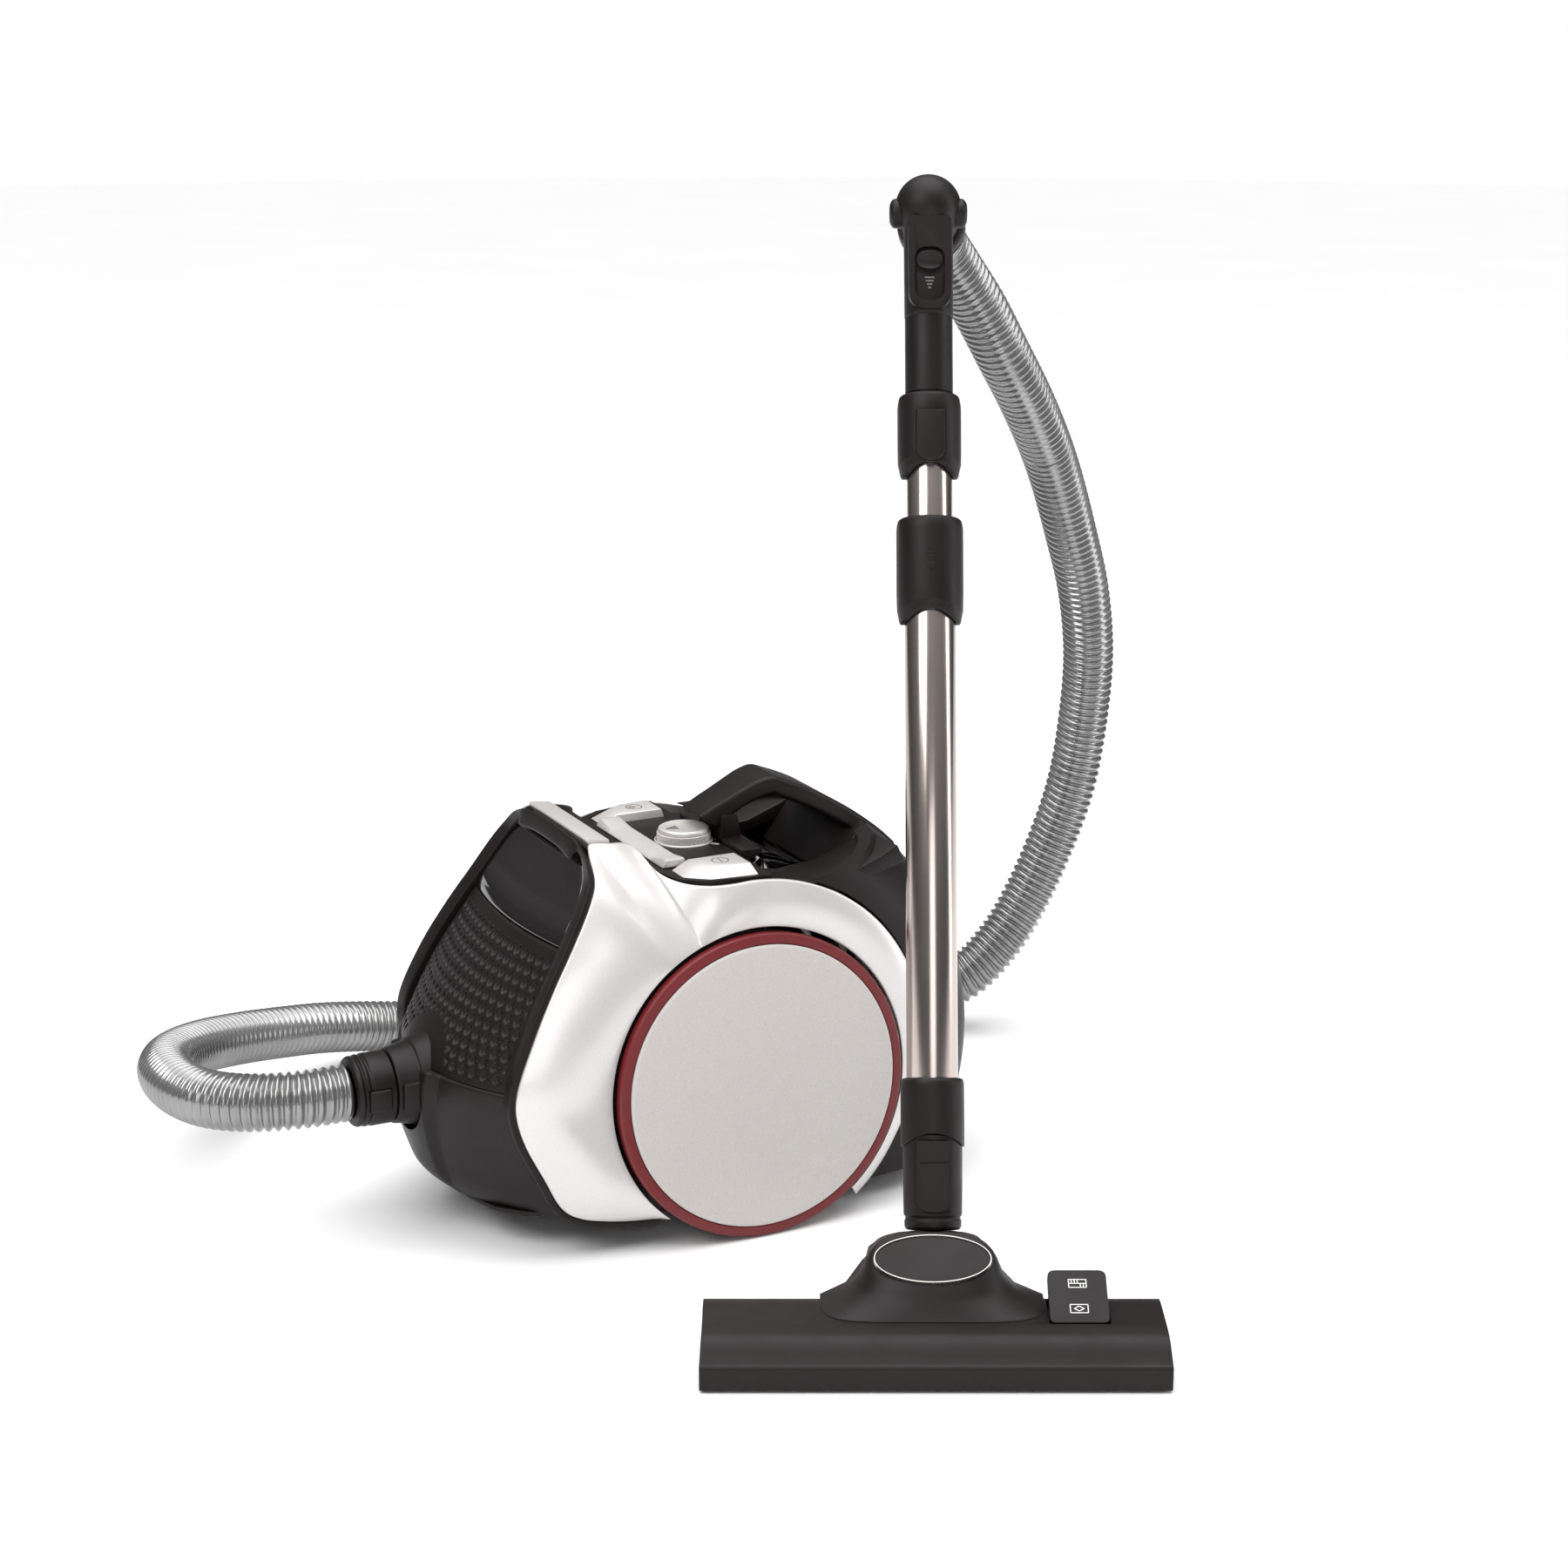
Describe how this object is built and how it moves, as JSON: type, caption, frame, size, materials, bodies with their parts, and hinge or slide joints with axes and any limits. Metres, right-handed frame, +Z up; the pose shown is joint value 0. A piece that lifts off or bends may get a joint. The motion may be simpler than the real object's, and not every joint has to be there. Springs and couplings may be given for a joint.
{
  "type": "canister vacuum cleaner",
  "caption": "Compact bagless canister vacuum cleaner on two large wheels and a castor, with a corrugated hose, telescopic wand and wide floor head.",
  "frame": {"origin": "middle of the floor under the canister, wand and floor head, without the hose", "axes": "+X towards the canister's front, where the hose leaves, +Y to its left side, where the floor head stands, +Z up"},
  "size_m": [0.7833, 0.7604, 0.6918],
  "materials": {
    "shell_white": "metallic light silver-grey lacquer",
    "black_plastic": "fine moulded grain",
    "gloss_black": "polished",
    "silver_paint": "silver lacquer",
    "motor_case": "cast case with windings inside",
    "steel": "polished tube",
    "red_rim": "satin",
    "disc_grey": "fine grained",
    "rubber": "matt",
    "clear_plastic": "clear polycarbonate",
    "hose_grey": "corrugated, metallic grey",
    "bristle": "brush strip",
    "filter_white": "pleated filter"
  },
  "bodies": {
    "chassis": {"lower_housing": "black_plastic", "front_bumper": "black_plastic", "exhaust_grille": "black_plastic", "front_panel": "gloss_black", "front_frame": "black_plastic", "trim_band": "silver_paint", "left_shell": "shell_white", "right_shell": "shell_white", "control_deck": "black_plastic", "control_fascia": "silver_paint", "left_rear_cover": "black_plastic", "right_rear_cover": "black_plastic", "rear_plate": "black_plastic", "cable_outlet_bush": "rubber", "blower_motor": "motor_case", "cable_reel": "black_plastic", "fine_dust_filter": "filter_white", "left_axle": "steel", "right_axle": "steel", "hose_inlet_neck": "black_plastic", "hose_lower": "hose_grey", "head_body": "black_plastic", "head_cover": "black_plastic", "badge_plate": "silver_paint"},
    "left_wheel": {"left_wheel_rim": "red_rim", "left_wheel_tyre": "rubber", "left_wheel_cover": "disc_grey"},
    "right_wheel": {"right_wheel_rim": "red_rim", "right_wheel_tyre": "rubber", "right_wheel_cover": "disc_grey"},
    "castor": {"castor_fork": "black_plastic"},
    "castor_wheel": {"castor_wheel": "rubber"},
    "power_key": {"power_key": "silver_paint"},
    "rewind_key": {"rewind_key": "silver_paint"},
    "power_dial": {"power_dial": "silver_paint"},
    "dust_container": {"container_lid": "black_plastic", "dust_container": "clear_plastic", "cyclone_core": "black_plastic"},
    "hose_cuff": {"hose_cuff": "black_plastic"},
    "left_cuff_latch": {"left_cuff_latch": "black_plastic"},
    "right_cuff_latch": {"right_cuff_latch": "black_plastic"},
    "neck": {"neck_elbow": "black_plastic"},
    "wand": {"neck_connector": "black_plastic", "lower_collar": "black_plastic", "outer_tube": "steel", "hose_middle": "hose_grey"},
    "neck_latch": {"neck_latch": "black_plastic"},
    "telescope_sleeve": {"telescope_sleeve": "black_plastic"},
    "upper_wand": {"inner_tube": "steel", "coupling_socket": "black_plastic", "wand_handle": "black_plastic", "hose_upper": "hose_grey"},
    "socket_latch": {"socket_latch": "black_plastic"},
    "suction_slider": {"suction_slider": "black_plastic"},
    "hose_end_swivel": {"hose_end_swivel": "black_plastic"},
    "mode_pedal": {"mode_pedal": "black_plastic"},
    "bristles": {"front_bristles": "bristle", "rear_bristles": "bristle"},
    "left_head_roller": {"left_head_roller": "rubber"},
    "right_head_roller": {"right_head_roller": "rubber"}
  },
  "joints": [
    {"name": "left_wheel_spin", "type": "hinge", "parent": "chassis", "child": "left_wheel", "pos_m": [-0.03032, -0.03602, 0.10435], "axis": [0, 0.9976, 0.0698], "continuous": true},
    {"name": "right_wheel_spin", "type": "hinge", "parent": "chassis", "child": "right_wheel", "pos_m": [-0.03032, -0.27602, 0.10435], "axis": [0, 0.9976, -0.0698], "continuous": true},
    {"name": "castor_swivel", "type": "hinge", "parent": "chassis", "child": "castor", "pos_m": [0.12168, -0.15602, 0.02], "axis": [0, 0, 1], "continuous": true},
    {"name": "castor_roll", "type": "hinge", "parent": "castor", "child": "castor_wheel", "pos_m": [0.11568, -0.15602, 0.009], "axis": [0, 1, 0], "continuous": true},
    {"name": "power_key_press", "type": "slide", "parent": "chassis", "child": "power_key", "axis": [0, 0, -1], "range_m": [0, 0.004], "stiffness_N_per_m": 700, "springref_m": -0.003},
    {"name": "rewind_key_press", "type": "slide", "parent": "chassis", "child": "rewind_key", "axis": [0, 0, -1], "range_m": [0, 0.004], "stiffness_N_per_m": 700, "springref_m": -0.003},
    {"name": "dial_turn", "type": "hinge", "parent": "chassis", "child": "power_dial", "pos_m": [-0.02832, -0.15602, 0.245], "axis": [0, 0, 1], "range_deg": [-135, 135]},
    {"name": "container_lift", "type": "slide", "parent": "chassis", "child": "dust_container", "axis": [0, 0, 1], "range_m": [0, 0.16]},
    {"name": "cuff_turn", "type": "hinge", "parent": "chassis", "child": "hose_cuff", "pos_m": [0.20468, -0.15602, 0.101], "axis": [1, 0, 0], "continuous": true},
    {"name": "left_cuff_latch_press", "type": "slide", "parent": "hose_cuff", "child": "left_cuff_latch", "axis": [0, -1, 0], "range_m": [0, 0.001], "stiffness_N_per_m": 600, "springref_m": -0.001},
    {"name": "right_cuff_latch_press", "type": "slide", "parent": "hose_cuff", "child": "right_cuff_latch", "axis": [0, 1, 0], "range_m": [0, 0.001], "stiffness_N_per_m": 600, "springref_m": -0.001},
    {"name": "neck_tilt", "type": "hinge", "parent": "chassis", "child": "neck", "pos_m": [-0.06392, 0.13518, 0.05528], "axis": [0.8949, -0.4462, 0], "range_deg": [-20, 12], "deforming": ["hose_lower", "hose_middle", "hose_upper"]},
    {"name": "wand_twist", "type": "hinge", "parent": "neck", "child": "wand", "pos_m": [-0.06392, 0.13518, 0.05528], "axis": [-0.1614, -0.3236, 0.9323], "range_deg": [-60, 60], "deforming": ["hose_lower", "hose_middle", "hose_upper"]},
    {"name": "neck_latch_press", "type": "slide", "parent": "wand", "child": "neck_latch", "axis": [-0.416, -0.8344, -0.3616], "range_m": [0, 0.0015], "stiffness_N_per_m": 600, "springref_m": -0.001},
    {"name": "sleeve_slide", "type": "slide", "parent": "wand", "child": "telescope_sleeve", "axis": [-0.1614, -0.3236, 0.9323], "range_m": [-0.005, 0.005], "stiffness_N_per_m": 900},
    {"name": "telescope", "type": "slide", "parent": "wand", "child": "upper_wand", "axis": [-0.1614, -0.3236, 0.9323], "range_m": [-0.012, 0.26], "deforming": ["hose_lower", "hose_middle", "hose_upper"]},
    {"name": "socket_latch_press", "type": "slide", "parent": "upper_wand", "child": "socket_latch", "axis": [-0.416, -0.8344, -0.3616], "range_m": [0, 0.001], "stiffness_N_per_m": 600, "springref_m": -0.001},
    {"name": "suction_slide", "type": "slide", "parent": "upper_wand", "child": "suction_slider", "axis": [0.1614, 0.3236, -0.9323], "range_m": [0, 0.016]},
    {"name": "hose_swivel", "type": "hinge", "parent": "upper_wand", "child": "hose_end_swivel", "pos_m": [-0.17041, -0.07842, 0.67061], "axis": [-0.496, -0.7705, -0.4004], "continuous": true},
    {"name": "pedal_rock", "type": "hinge", "parent": "chassis", "child": "mode_pedal", "pos_m": [-0.11885, 0.21775, 0.033], "axis": [-0.8949, 0.4462, 0], "range_deg": [0, 8]},
    {"name": "bristle_lift", "type": "slide", "parent": "chassis", "child": "bristles", "axis": [0, 0, 1], "range_m": [0, 0.004]},
    {"name": "left_roller_spin", "type": "hinge", "parent": "chassis", "child": "left_head_roller", "pos_m": [-0.0351, 0.1123, 0.009], "axis": [-0.8949, 0.4462, 0], "continuous": true},
    {"name": "right_roller_spin", "type": "hinge", "parent": "chassis", "child": "right_head_roller", "pos_m": [-0.09595, 0.14264, 0.009], "axis": [-0.8949, 0.4462, 0], "continuous": true}
  ],
  "couplings": [
    {"joint": "pedal_rock", "follows": "bristle_lift", "rad_per_m": 34.47}
  ]
}
